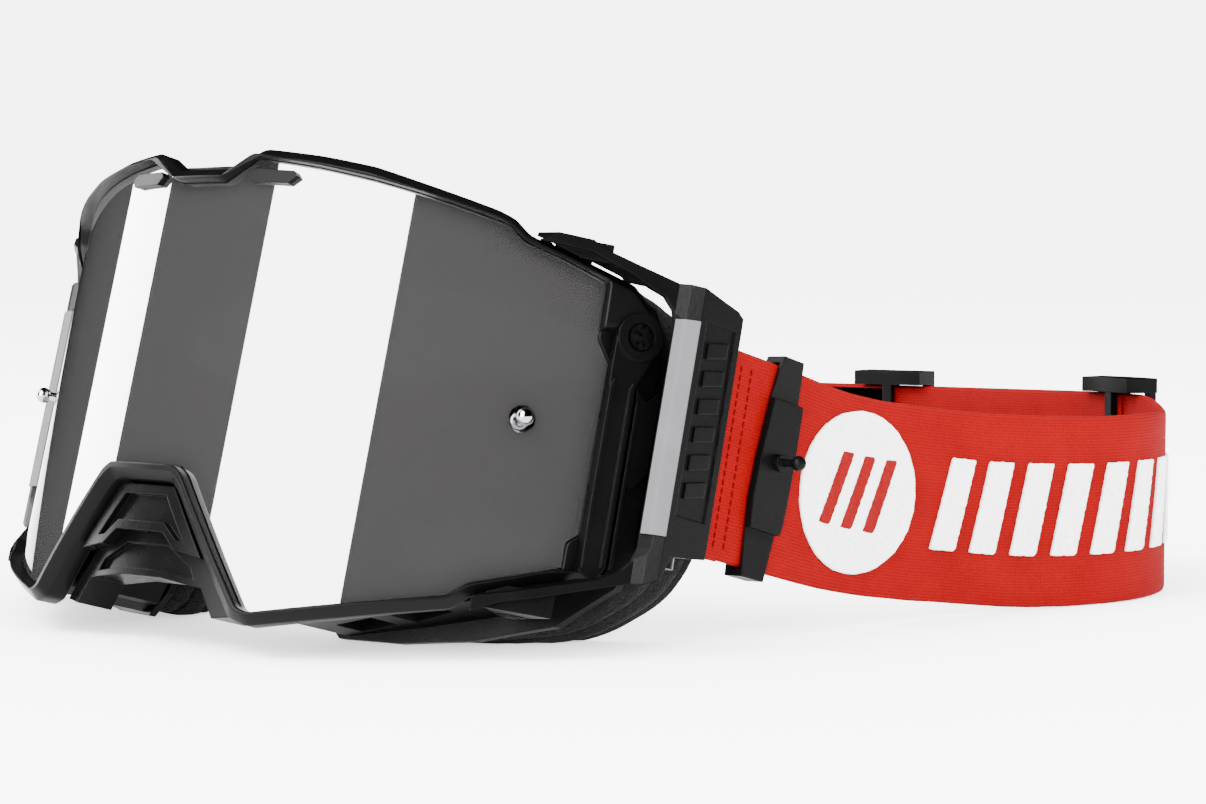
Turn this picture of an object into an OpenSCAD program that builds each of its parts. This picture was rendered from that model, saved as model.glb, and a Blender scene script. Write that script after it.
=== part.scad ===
// Off-road riding goggles with an adjustable strap, standing on foam and strap.
// Millimetres, +Z up, the lens faces -Y, +X is the wearer's left-hand side.
// The eyepiece is drawn upright in its own frame and leaned back by "leaned".

/* [Eyepiece] */
// lens cylinder radius
lens_radius = 100; // [97:0.5:103]
// lens sheet thickness
lens_thick = 1.6; // [1:0.1:2]
// how far the rim stands in front of the lens
rim_proud = 3; // [2:0.1:3.2]
// lean of the eyepiece against the floor, degrees
lean = 15.6; // [14:0.1:17]
// wall of the box-shaped frame behind the lens
body_wall = 3.2; // [2.4:0.1:4]
// overall width scale of the eyepiece outline
eye_wide = 1; // [0.95:0.01:1]
// overall height scale of the eyepiece outline
eye_high = 1; // [0.96:0.01:1]

/* [Face foam] */
// radius of the face surface
face_radius = 150; // [140:1:165]
// foam base layer
foam_base_thick = 6; // [4:0.5:8]
// foam middle layer
foam_mid_thick = 6.5; // [4:0.5:8]
// fleece layer on the skin
fleece_thick = 3; // [2:0.5:4]

/* [Strap] */
// webbing width
strap_wide = 47; // [43:0.5:47.5]
// webbing thickness
strap_thick = 1.9; // [1.4:0.1:2.1]
// outward splay of the strap where it leaves the outrigger, degrees
splay = 6.84; // [5:0.1:8]
// outward flare of the strap sides behind the split, degrees
flare = 20; // [16:0.5:22]
// radius of the bend at the back
bend_radius = 43.8; // [36:0.2:46]
// length of each straight side behind the split
side_length = 65.2; // [56:0.2:80]

/* [Fittings] */
// lens lock pin radius
pin_r = 1.5; // [1.2:0.05:1.8]
// running clearance on a pin
run_gap = 0.05; // [0.02:0.01:0.09]
// tear-off post ball radius
ball_r = 1.95; // [1.6:0.05:2.2]
// gap between moving faces
face_gap = 0.5; // [0.3:0.05:0.6]

/* [Hidden] */
$fn = 64;
R = lens_radius;
RB = R - 4.5;
face_y = 36 + face_radius;
sp_x = 103;
sp_y = 70;
side_x0 = 111.3;
side_y0 = 130.5;
tan_x = side_x0 + side_length * sin(flare);
tan_y = side_y0 + side_length * cos(flare);
bend_x = tan_x - bend_radius * cos(flare);
bend_y = tan_y + bend_radius * sin(flare);
rear_y = bend_y + bend_radius;
rear_z = 2.8;
pivot_a = 61.7;
pivot_z = 7.9;
post_a = 49;
post_z = -14.8;
hinge_x = 73.5;
hinge_y = 44.5;
glide_x = 34.6;
glide_a = 23;
foam_a = face_radius - foam_base_thick;
foam_b = foam_a - foam_mid_thick;
foam_c = foam_b - fleece_thick;
drop = 60.85 * cos(lean) + (face_y - sqrt(pow(foam_c, 2) - pow(46, 2))) * sin(lean);
mid_y = (rear_y + 2.45 - 16.82) / 2;

function u2(v) = v / norm(v);
function deg(s) = s * 180 / (PI * R);
// one half outline (top centre to bottom centre) to a full counter-clockwise loop
function loop(h) = concat([for (p = h) [-p[0], p[1]]],
    [for (i = [len(h) - 1 : -1 : 0]) h[i]]);
// mitred inset of a counter-clockwise outline
function inset(p, d) = [for (i = [0 : len(p) - 1])
    let (a = p[(i + len(p) - 1) % len(p)], b = p[i], c = p[(i + 1) % len(p)],
         e = u2(b - a), f = u2(c - b),
         m = [-e[1], e[0]], n = [-f[1], f[0]])
    b + d * (m + n) / (1 + m * n)];
// arc-length outline seen from the front
function front(p) = [for (q = p) [R * sin(deg(q[0])) * eye_wide, q[1] * eye_high]];

lens_half = [[7, 29.3], [15.5, 35], [30.9, 33.6], [44.1, 32], [55.8, 30.2],
    [68.8, 27.9], [75.4, 26.7], [79.7, 23.6], [90, 21.1], [98.9, 18.6],
    [99.1, 6], [103.2, 0], [103.4, -36.2], [99.8, -39.1], [99.8, -44.7],
    [90, -48.2], [80, -51.7], [76, -55.1], [65, -57.9], [54.2, -60.6],
    [33.3, -65.8], [12.6, -37.4], [10.2, -35.7]];
rim_half = [[8, 32.4], [17, 37.2], [31.8, 36.3], [44.4, 35], [55.8, 32.7],
    [72.9, 29.4], [76.7, 28.2], [80.5, 25.2], [90, 23], [100, 20.6], [105.6, 19.4],
    [111.5, 13.8], [113, 6], [114, -5], [114, -38], [108, -46], [97.1, -48.6],
    [90, -51.2], [81.5, -54.3], [77.7, -57.8], [66, -60.7], [54.5, -63.7],
    [34.5, -68.5], [29.9, -67.2], [11.3, -41.6], [8.9, -39.4]];
body_half = [[7, 34.6], [17, 35], [31.8, 34.2], [44.4, 32.8], [55.8, 30.6],
    [72.9, 27.2], [76.7, 25.6], [81, 22.8], [100, 18.2], [104.5, 16.5], [108, 12],
    [109, 4], [110, -5], [110, -37], [105.5, -43.5], [97.1, -46.2],
    [81.5, -51.6], [77.7, -55.2], [54.5, -61], [34.5, -65.4], [30.5, -63.6],
    [13.4, -39.6], [10.2, -36.6]];
foam_half = [[6, 33.5], [40, 31.5], [66, 26.5], [80, 21.5], [88, 13], [91.5, 0],
    [92.5, -14], [92, -36], [88, -47], [78, -57.5], [62, -63.5], [46, -66.4],
    [31, -67.2], [24.5, -61], [15, -36], [8, -24], [5, -22]];

module leaned() {
    translate([0, -mid_y, drop]) rotate([-lean, 0, 0]) children();
}
module on_floor() {
    translate([0, -mid_y, 0]) children();
}
// side points of an outline moved out, so that a radial plane cuts them
function widen(h, at, to) = [for (p = h) p[0] >= at ? [to, p[1]] : p];
// shell between two radii about the lens axis, between two angles
module sector(r0, r1, a0, a1, z0, z1) {
    translate([0, R, z0]) rotate([0, 0, a0 - 90]) rotate_extrude(angle = a1 - a0, $fn = 128)
        translate([r0, 0]) square([r1 - r0, z1 - z0]);
}
// outline in the X-Z plane pushed through in Y
module slab(p, y0, y1) {
    translate([0, y1, 0]) rotate([90, 0, 0]) linear_extrude(y1 - y0) polygon(p);
}
module tube(r0, r1, z0, z1, y = R) {
    translate([0, y, z0]) difference() {
        cylinder(r = r1, h = z1 - z0, $fn = 180);
        translate([0, 0, -1]) cylinder(r = r0, h = z1 - z0 + 2, $fn = 180);
    }
}
// local frame on the lens cylinder: x along the arc, y up, z outward
module on_side(a, z, r = R) {
    translate([r * sin(a), R - r * cos(a), z]) rotate([0, 0, a]) rotate([90, 0, 0]) children();
}
module right_left(s) {
    if (s > 0) children();
    else mirror([1, 0, 0]) children();
}

// ---- frame ----
module rim_bay(s) {
    right_left(s) on_side(pivot_a, pivot_z, R) {
        translate([0, 0, 0.25]) {
            cylinder(r = 6.2, h = 20);
            intersection() {
                cylinder(r = 55.4, h = 20, $fn = 180);
                translate([-22, -57, 0]) cube([22.1, 54, 20]);
            }
            intersection() {
                cylinder(r = 8.6, h = 20);
                translate([-12, -9, 0]) cube([12.1, 13, 20]);
            }
            translate([0, -54.8, 0]) cube([14, 57, 20]);
        }
        translate([0, 0, -3.2]) linear_extrude(9)
            polygon([[-3.3, 4.1], [4, 7.7], [7.1, 2.1], [14, 2], [14, -54.8], [2.9, -54.8],
                [2.9, -52.7], [-3.3, -52.7]]);
    }
}
module front_rim() color([0.05, 0.05, 0.05]) leaned() {
    difference() {
        intersection() {
            sector(R - 4, R + rim_proud, -deg(114), deg(114), -75, 45);
            slab(front(loop(widen(rim_half, 113.5, 119))), -10, 75);
        }
        intersection() {
            sector(R - lens_thick - 0.8, R + 9, -deg(103.6), deg(103.6), -75, 45);
            slab(front(inset(loop(widen(lens_half, 103, 107)), -0.15)), -10, 75);
        }
        slab(front(inset(loop(lens_half), 3.2)), -10, 75);
        rim_bay(1);
        rim_bay(-1);
    }
}

module frame_body() color([0.06, 0.06, 0.06]) leaned() {
    difference() {
        intersection() {
            translate([0, R, -75]) cylinder(r = R - 4, h = 120, $fn = 180);
            slab(front(loop(body_half)), -10, 66);
        }
        slab(front(inset(loop(body_half), body_wall)), -20, 90);
        translate([0, face_y, -80]) cylinder(r = face_radius + 2, h = 140, $fn = 180);
        // air slots through the brow
        for (x = [-48, -24, 0, 24, 48])
            translate([x - 8, 14 + abs(x) * 0.16, 22]) cube([16, 9, 22]);
        // air slots through the lower wall
        for (x = [-58, -44, 44, 58])
            translate([x - 5, 22 + abs(x) * 0.12, -70]) cube([10, 9, 22]);
        // bores of the outrigger pins
        for (x = [-hinge_x, hinge_x])
            translate([x, hinge_y, -70]) cylinder(r = 1.62, h = 120);
    }
}

// thin flange the face foam is glued to
module face_flange() color([0.07, 0.07, 0.07]) leaned() {
    difference() {
        intersection() {
            tube(face_radius, face_radius + 2, -80, 45, face_y);
            slab(inset(loop(foam_half), 1), 20, 90);
        }
        slab(inset(loop(foam_half), 13), 10, 100);
    }
}

module lens() color([0.35, 0.35, 0.36]) leaned() {
    difference() {
        intersection() {
            sector(R - lens_thick, R, -deg(103.4), deg(103.4), -75, 45);
            slab(front(loop(widen(lens_half, 103, 107))), -10, 75);
        }
        for (s = [-1, 1])
            on_side(s * post_a, post_z, R) translate([0, 0, -5]) cylinder(r = 1.15, h = 9);
    }
}

// soft seal between the lens and the ledge
module lens_seal() color([0.1, 0.1, 0.1]) leaned() {
    difference() {
        intersection() {
            sector(R - lens_thick - 0.75, R - lens_thick - 0.05, -deg(102.6), deg(102.6), -75, 45);
            slab(front(inset(loop(lens_half), 0.4)), -10, 75);
        }
        slab(front(inset(loop(lens_half), 2.2)), -10, 75);
    }
}

module lens_tab(s) color([0.08, 0.08, 0.08]) leaned() {
    w = 6.6;
    on_side(s * 11.5, 30.9, R) linear_extrude(1.3)
        polygon([[-w, 0.3], [-w + 2, 1.6], [w - 1, 1.4], [w, 0.2], [w - 2, -1.5], [-w + 1, -1.4]]);
}
module lens_tab_left() lens_tab(-1);
module lens_tab_right() lens_tab(1);

module post(s) color([0.5, 0.5, 0.5]) leaned() {
    on_side(s * post_a, post_z, R) {
        translate([0, 0, -lens_thick - 1.3]) cylinder(r = 2.6, h = 1.2);
        translate([0, 0, -lens_thick - 0.6]) cylinder(r = 1.1, h = 6);
        translate([0, 0, 0.7]) cylinder(r = 1.5, h = 0.6);
        translate([0, 0, 4.4]) sphere(r = ball_r, $fn = 48);
    }
}
module tear_off_post_left() post(-1);
module tear_off_post_right() post(1);

module washer(s) color([0.3, 0.3, 0.3]) leaned() {
    on_side(s * post_a, post_z, R) difference() {
        cylinder(r = 2.9, h = 0.7);
        translate([0, 0, -1]) cylinder(r = 1.1, h = 3);
    }
}
module post_washer_left() washer(-1);
module post_washer_right() washer(1);

// ---- nose ----
nose_half = [[9, -40], [29, -66.5], [25.5, -68.5], [16, -69], [5, -66]];
module nose_panel_upper() color([0.07, 0.07, 0.07]) leaned() {
    difference() {
        intersection() {
            sector(R - 3.8, R - 0.6, -40, 40, -75, -30);
            slab(front(loop([[8.4, -40.2], [19.5, -55.4], [11.5, -54], [7.5, -50.5]])), -10, 75);
        }
        intersection() {
            sector(R - 2.2, R + 9, -40, 40, -75, -30);
            slab(front(loop([[6.6, -42.4], [13.8, -52.2], [11.6, -51.9], [7.4, -48.4]])), -10, 75);
        }
    }
}
module nose_panel_lower() color([0.06, 0.06, 0.06]) leaned() {
    difference() {
        intersection() {
            sector(R - 14, R - 4, -40, 40, -75, -30);
            slab(front(loop([[9.2, -44], [26.6, -66.8], [22, -67.6], [18, -61.5], [6, -60.2]])), -10, 75);
        }
        intersection() {
            sector(R - 5.2, R + 9, -40, 40, -75, -30);
            slab(front(loop([[6.5, -53], [14, -57.2], [15.5, -59.8], [6, -58.6]])), -10, 75);
        }
    }
}
module nose_roof() color([0.05, 0.05, 0.05]) leaned() {
    intersection() {
        translate([0, R, -75]) difference() {
            cylinder(r = R - 7.5, h = 60);
            translate([0, 0, -1]) cylinder(r = R - 30, h = 62);
        }
        slab(front(loop([[10.2, -36.7], [13.3, -39.7], [30.3, -63.7], [27.5, -63.2],
            [11, -41.4]])), -5, 60);
        translate([-40, -5, -80]) cube([80, 42, 60]);
    }
}

// ---- lens lock ----
module side_plate(s) color([0.06, 0.06, 0.06]) leaned() {
    right_left(s) on_side(pivot_a, pivot_z, R) difference() {
        translate([0, 0, -3.2]) linear_extrude(3.2)
            polygon([[-3.2, 4], [4, 7.5], [7, 2], [7.2, -50], [3, -52.5], [-3.2, -52.5]]);
        translate([0, 0, -9]) cylinder(r = pin_r + 0, h = 20);
    }
}
module side_plate_left() side_plate(-1);
module side_plate_right() side_plate(1);

module side_cover(s) color([0.07, 0.07, 0.07]) leaned() {
    right_left(s) on_side(pivot_a, pivot_z, R) {
        linear_extrude(2.6)
            polygon([[1.6, -11.4], [4.2, -13.6], [7.3, -10.6], [7.3, -29], [4.4, -33], [1.6, -33]]);
        linear_extrude(1.9)
            polygon([[1.6, -32], [4.4, -32], [7.3, -28], [7.3, -50], [4, -52.4], [1.6, -52.4]]);
        translate([0, 0, 1]) linear_extrude(2.2)
            polygon([[1.6, -13.5], [2.4, -14.5], [2.4, -50.5], [1.6, -51.5]]);
    }
}
module side_cover_left() side_cover(-1);
module side_cover_right() side_cover(1);

module lever(s) color([0.05, 0.05, 0.05]) leaned() {
    right_left(s) on_side(pivot_a, pivot_z, R) difference() {
        union() {
            translate([0, 0, face_gap]) cylinder(r = 5.4, h = 3.2);
            translate([0, 0, face_gap]) linear_extrude(2.6)
                polygon([[-5.4, 1], [-5.4, -38], [-5.1, -53], [-1.2, -54.6], [0.9, -51],
                    [0.9, -10.6], [3.4, -5.4], [4, 0]]);
            translate([0, 0, face_gap + 2]) linear_extrude(1.4)
                polygon([[-5.4, -12], [-4.5, -10], [-4.5, -50], [-5.1, -52.6], [-5.4, -38]]);
            translate([0, 0, face_gap + 2]) linear_extrude(1.2)
                polygon([[-0.6, -12], [0.2, -10], [0.2, -50], [-0.6, -51.5]]);
        }
        translate([0, 0, -1]) cylinder(r = pin_r + run_gap, h = 9);
        translate([0, 0, face_gap + 2.4]) cylinder(r = 3.2, h = 5);
    }
}
module lens_lock_lever_left() lever(-1);
module lens_lock_lever_right() lever(1);

module lever_pin(s) color([0.3, 0.3, 0.3]) leaned() {
    right_left(s) on_side(pivot_a, pivot_z, R) {
        translate([0, 0, -3.15]) cylinder(r = pin_r, h = 3.15 + face_gap + 2.8);
        translate([0, 0, face_gap + 2.75]) cylinder(r = 2.8, h = 0.7);
    }
}
module lever_pin_left() lever_pin(-1);
module lever_pin_right() lever_pin(1);

// ---- outriggers ----
bow_side = [[29.5, 24], [31.7, 26.4], [37.3, 26.2], [39, 24.8], [45.2, 22.7],
    [52.2, 20.4], [58.6, 19], [65.2, 17.6], [67.6, 16], [68.6, 13], [68.6, -35.8],
    [66.9, -37.7], [62.5, -38.3], [56.8, -38.9], [55.6, -41.6], [54.4, -44.4],
    [52.3, -46], [46, -48.9], [37.9, -52.6], [32.4, -54.9], [28.6, -57.6],
    [27, -56.8], [28.6, -54.4], [32.2, -53], [37.7, -50.6], [47.2, -46.4],
    [50.4, -43.6], [52, -41], [52.7, -38], [52.7, 10.5], [52, 14.2], [50.4, 16.9],
    [48, 18.2], [45, 20.2], [37.5, 23.7]];
bow_plan = [[75.5, 28.2], [82, 34.4], [98.4, 52.1], [101.3, 52.4], [104.2, 54],
    [106, 67], [105, 68.5], [99.4, 68.5], [96.4, 61], [96.4, 56.6], [98, 52.7],
    [92.6, 47.6], [87, 46.4], [73, 46.4], [67.4, 41]];
module bow_block() {
    intersection() {
        translate([60, 0, 0]) rotate([90, 0, 90]) linear_extrude(60) polygon(bow_side);
        translate([0, 0, -70]) linear_extrude(110) polygon(bow_plan);
    }
}
// hinge lug and the web that joins it to the arm
module lug(z0, z1, w0, w1) {
    translate([hinge_x, hinge_y, z0]) cylinder(r = 3.3, h = z1 - z0);
    translate([0, 0, w0]) linear_extrude(w1 - w0)
        polygon([[70.6, 42.8], [76.6, 31.4], [87.2, 41.4], [76.4, 46.4]]);
}
module outrigger(s) color([0.06, 0.06, 0.06]) leaned() {
    right_left(s) difference() {
        union() {
            bow_block();
            lug(20, 27, 22, 26.1);
            lug(-56.6, -50, -56.4, -51);
        }
        intersection() {
            tube(R - 4.6, R + rim_proud + 0.7, -80, 45);
            slab(front(inset(loop(rim_half), -0.7)), -20, 60);
        }
        intersection() {
            translate([0, R, -80]) cylinder(r = R - 4.5, h = 130, $fn = 180);
            slab(front(inset(loop(body_half), -0.7)), -20, 60);
        }
        // bay for the strap and its pin
        translate([90, 57.4, -38]) cube([13.1, 14, 52]);
        translate([99.3, 62.2, -60]) cylinder(r = 1.7, h = 100);
        // hinge bores
        translate([hinge_x, hinge_y, -70]) cylinder(r = 1.6 + run_gap, h = 120);
        // long recess in the outer face
        translate([104.2, 54, -30]) rotate([0, 0, -7.9])
            translate([-0.45, 2, 0]) cube([3, 9.4, 43]);
    }
}
module outrigger_left() outrigger(-1);
module outrigger_right() outrigger(1);

// raised blocks in the recess of the outer face
module outrigger_badge(s) color([0.07, 0.07, 0.07]) leaned() {
    right_left(s) for (i = [0 : 5])
        translate([104.2, 54, -26 + i * 6.2]) rotate([0, 0, -7.9])
            translate([-0.42, 3.6, 0]) rotate([90, 0, 90]) linear_extrude(0.6)
                polygon([[0, 0], [6, 1.4], [6, 4.9], [0, 3.5]]);
}
module outrigger_badge_left() outrigger_badge(-1);
module outrigger_badge_right() outrigger_badge(1);

module hinge_pins(s) color([0.3, 0.3, 0.3]) leaned() {
    right_left(s) {
        translate([hinge_x, hinge_y, 19.6]) cylinder(r = 1.6, h = 7.6);
        translate([hinge_x, hinge_y, -56.8]) cylinder(r = 1.6, h = 8.6);
    }
}
module hinge_pins_left() hinge_pins(-1);
module hinge_pins_right() hinge_pins(1);

module strap_pin(s) color([0.4, 0.4, 0.4]) leaned() {
    right_left(s) translate([99.3, 62.2, -40.9]) cylinder(r = 1.7, h = 56);
}
module strap_pin_left() strap_pin(-1);
module strap_pin_right() strap_pin(1);

// ---- strap ----
loop_z0 = -36.4;
module strap_side(s) color([0.8, 0.05, 0.06]) right_left(s) intersection() {
    leaned() {
        translate([99.3, 62.2, loop_z0]) difference() {
            union() {
                cylinder(r = 1.7 + strap_thick, h = strap_wide);
                linear_extrude(strap_wide) polygon([[-1.7 - strap_thick, 0],
                    [1.7 + strap_thick, 0], [sp_x - 99.3, sp_y - 62.2],
                    [sp_x - 99.3 - 2 * strap_thick, sp_y - 62.2]]);
            }
            translate([0, 0, -1]) cylinder(r = 1.75, h = strap_wide + 2);
        }
        translate([sp_x, sp_y, loop_z0]) rotate([0, 0, -splay]) {
            translate([-2 * strap_thick, -0.3, 0]) cube([2 * strap_thick, 8.3, strap_wide]);
            translate([-strap_thick, 0, 0]) cube([strap_thick, 90, strap_wide]);
        }
    }
    on_floor() translate([50, 0, 0]) cube([100, 128, 140]);
}
module strap_side_left() strap_side(-1);
module strap_side_right() strap_side(1);

// cross stitching that closes the end of each side
module end_stitch(s) color([0.6, 0.03, 0.04]) leaned() {
    right_left(s) for (i = [0 : 1])
        translate([sp_x, sp_y, loop_z0 + 3]) rotate([0, 0, -splay])
            translate([0, 2.5 + i * 3.5, 0]) cube([0.35, 0.9, strap_wide - 6]);
}
module end_stitch_left() end_stitch(-1);
module end_stitch_right() end_stitch(1);

module bend_arc(r0, r1, a0, a1, z0, h) {
    translate([bend_x, bend_y, z0]) rotate([0, 0, a0]) rotate_extrude(angle = a1 - a0, $fn = 128)
        translate([r0, 0]) square([r1 - r0, h]);
}
module strap_back_half() {
    translate([side_x0, side_y0, 0]) rotate([0, 0, -flare])
        translate([-strap_thick, 0, 0]) cube([strap_thick, side_length, strap_wide]);
    difference() {
        bend_arc(bend_radius - strap_thick, bend_radius, -flare, 91.5, 0, strap_wide + rear_z);
        bend_arc(bend_radius - 9, bend_radius + 9, 36, 99, -1, rear_z + 1);
        bend_arc(bend_radius - 9, bend_radius + 9, -flare - 9, 36, strap_wide, 9);
    }
}
module strap_bend_left() color([0.8, 0.05, 0.06]) on_floor()
    mirror([1, 0, 0]) strap_back_half();
module strap_bend_right() color([0.8, 0.05, 0.06]) on_floor() strap_back_half();
module strap_rear() color([0.78, 0.05, 0.06]) on_floor()
    translate([-bend_x + 1, rear_y - strap_thick, rear_z])
        cube([2 * bend_x - 2, strap_thick, strap_wide]);

// second layer folded back between the two adjusters
module strap_fold() color([0.75, 0.05, 0.06]) on_floor() {
    t = strap_thick;
    translate([glide_x, rear_y - 2 * t, rear_z]) cube([bend_x - glide_x, t, strap_wide]);
    // a hair thinner than the straight part, so that its end sinks into it
    bend_arc(bend_radius - 2 * t + 0.06, bend_radius - t - 0.06, 90 - glide_a - 4, 91,
        rear_z + 0.05, strap_wide - 0.1);
}

// narrow rubber grip lines on the inside of the back
module grip_lines() color([0.1, 0.1, 0.1]) on_floor() {
    for (i = [0 : 2])
        translate([-bend_x + 4, rear_y - strap_thick - 0.5, rear_z + 9 + i * 12])
            cube([bend_x + glide_x - 26, 0.5, 3]);
}

glide_w = 22;
glide_t = 2 * strap_thick + 0.9;
// straight three-bar adjuster
module tri_glide_middle() color([0.05, 0.05, 0.05]) on_floor() {
    y0 = rear_y - 2 * strap_thick - 0.45;
    translate([glide_x, y0, 0]) {
        for (z = [0.2, rear_z + strap_wide + 0.4])
            for (i = [0, 1]) translate([-glide_w / 2, -2 + i * (glide_t + 2), z])
                cube([glide_w, 2, z < 1 ? 2.2 : 4]);
        for (z = [0.2, rear_z + strap_wide + 0.4])
            translate([-glide_w / 2, -0.5, z]) cube([glide_w, glide_t + 1, z < 1 ? 2.2 : 4]);
        for (x = [-glide_w / 2, glide_w / 2 - 3])
            translate([x, glide_t, 0.2]) cube([3, 2, rear_z + strap_wide + 4.2]);
        translate([-1.5, -2, 0.2]) cube([3, 2, rear_z + strap_wide + 4.2]);
    }
}
// curved three-bar adjuster on the bend
module tri_glide_side() color([0.05, 0.05, 0.05]) on_floor() {
    half = glide_w / 2 / bend_radius * 180 / PI;
    ri = bend_radius - 2 * strap_thick - 0.45;
    ro = bend_radius + 0.45;
    zt = rear_z + strap_wide + 0.4;
    bar = 3 / bend_radius * 180 / PI;
    a = 90 - glide_a;
    bend_arc(ri - 2.2, ro + 2.2, a - half, a + half, 0.2, 2.2);
    bend_arc(ri - 2.2, ro + 2.2, a - half, a + half, zt, 4);
    bend_arc(ro, ro + 2, a - half + 0.3, a - half + bar, 1, zt + 1);
    bend_arc(ro, ro + 2, a + half - bar, a + half - 0.3, 1, zt + 1);
    bend_arc(ri - 2, ri, a - bar / 2, a + bar / 2, 1, zt + 1);
}

// sliding keeper around the side of the strap, widest a little below its middle
keeper_side = [[12.4, -2], [19.8, -2], [22.6, 12], [23.3, 25], [23.2, 38], [22, strap_wide + 2],
    [15.2, strap_wide + 2], [13.2, 38], [11.7, 25], [11.2, 16], [12, 5]];
module keeper(s) color([0.06, 0.06, 0.06]) leaned() {
    g = 0.4;
    right_left(s) translate([sp_x, sp_y, loop_z0]) rotate([0, 0, -splay])
        difference() {
            translate([-strap_thick - g - 1.6, 0, 0]) rotate([90, 0, 90])
                linear_extrude(strap_thick + 2 * g + 3.4) polygon(keeper_side);
            translate([-strap_thick - g, 9, -g])
                cube([strap_thick + 2 * g, 17, strap_wide + 2 * g]);
            translate([g + 0.9, 0, -3]) rotate([0, -3.4, 0]) cube([3, 30, 12]);
            translate([g + 0.2, 0, strap_wide - 8]) rotate([0, 4.4, 0]) cube([3, 30, 12]);
        }
}
module strap_keeper_left() keeper(-1);
module strap_keeper_right() keeper(1);

module keeper_post(s) color([0.08, 0.08, 0.08]) leaned() {
    right_left(s) translate([sp_x, sp_y, loop_z0]) rotate([0, 0, -splay])
        translate([2.2, 17.3, 24.8]) rotate([0, 90, 0]) {
            cylinder(r = 1.9, h = 1.6);
            cylinder(r = 0.9, h = 6);
            translate([0, 0, 6.2]) sphere(r = 1.7, $fn = 48);
        }
}
module keeper_post_left() keeper_post(-1);
module keeper_post_right() keeper_post(1);

// ---- foam ----
// the base layer stops just above the floor
base_half = [[6, 33.5], [40, 31.5], [66, 26.5], [80, 21.5], [88, 13], [91.5, 0],
    [92.5, -14], [92, -36], [88, -47], [78, -57.2], [62, -61.7], [46, -63.5],
    [31, -64.7], [24.9, -61], [15, -36], [8, -24], [5, -22]];
module foam_ring(r0, r1, outline, inside) {
    leaned() difference() {
        intersection() {
            tube(r0, r1, -80, 45, face_y);
            slab(outline, 20, 100);
        }
        slab(inside, 10, 110);
    }
}
module foam_layer(r0, r1, d, w) {
    intersection() {
        foam_ring(r0, r1, inset(loop(foam_half), d), inset(loop(foam_half), w));
        // pressed flat where it stands on the floor
        translate([-150, -200, 0]) cube([300, 300, 200]);
    }
}
module face_foam_base() color([0.08, 0.08, 0.08])
    foam_ring(foam_a, face_radius, loop(base_half), inset(loop(foam_half), 13));
module face_foam_middle() color([0.12, 0.12, 0.12])
    foam_layer(foam_b, foam_a, 1, 13);
module face_fleece() color([0.16, 0.16, 0.16])
    foam_layer(foam_c, foam_b, 1.6, 12.4);

// open-cell foam behind the air slots
module vent_foam_top() color([0.1, 0.1, 0.1]) leaned() intersection() {
    difference() {
        slab(front(inset(loop(body_half), body_wall)), 12, 33);
        slab(front(inset(loop(body_half), body_wall + 1.6)), 10, 35);
    }
    translate([-62, 12, 18]) cube([124, 24, 20]);
    translate([0, R, 0]) cylinder(r = R - 6, h = 40, $fn = 180);
    difference() {
        translate([-70, 0, 0]) cube([140, 60, 50]);
        translate([0, face_y, -1]) cylinder(r = face_radius + 2.3, h = 60, $fn = 180);
    }
}
module vent_foam_bottom() color([0.1, 0.1, 0.1]) leaned() intersection() {
    difference() {
        slab(front(inset(loop(body_half), body_wall)), 12, 48);
        slab(front(inset(loop(body_half), body_wall + 1.6)), 10, 50);
    }
    for (s = [-1, 1]) translate([s * 51 - 15, 10, -64]) cube([30, 40, 18]);
    translate([0, R, -70]) cylinder(r = R - 6, h = 40, $fn = 180);
    difference() {
        translate([-80, 0, -70]) cube([160, 60, 50]);
        translate([0, face_y, -71]) cylinder(r = face_radius + 2.3, h = 60, $fn = 180);
    }
}

front_rim();
frame_body();
face_flange();
lens();
lens_seal();
lens_tab_left();
lens_tab_right();
tear_off_post_left();
tear_off_post_right();
post_washer_left();
post_washer_right();
nose_panel_upper();
nose_panel_lower();
nose_roof();
side_plate_left();
side_plate_right();
side_cover_left();
side_cover_right();
lens_lock_lever_left();
lens_lock_lever_right();
lever_pin_left();
lever_pin_right();
outrigger_left();
outrigger_right();
outrigger_badge_left();
outrigger_badge_right();
hinge_pins_left();
hinge_pins_right();
strap_pin_left();
strap_pin_right();
strap_side_left();
strap_side_right();
end_stitch_left();
end_stitch_right();
strap_bend_left();
strap_bend_right();
strap_rear();
strap_fold();
grip_lines();
tri_glide_middle();
tri_glide_side();
strap_keeper_left();
strap_keeper_right();
keeper_post_left();
keeper_post_right();
face_foam_base();
face_foam_middle();
face_fleece();
vent_foam_top();
vent_foam_bottom();
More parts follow.
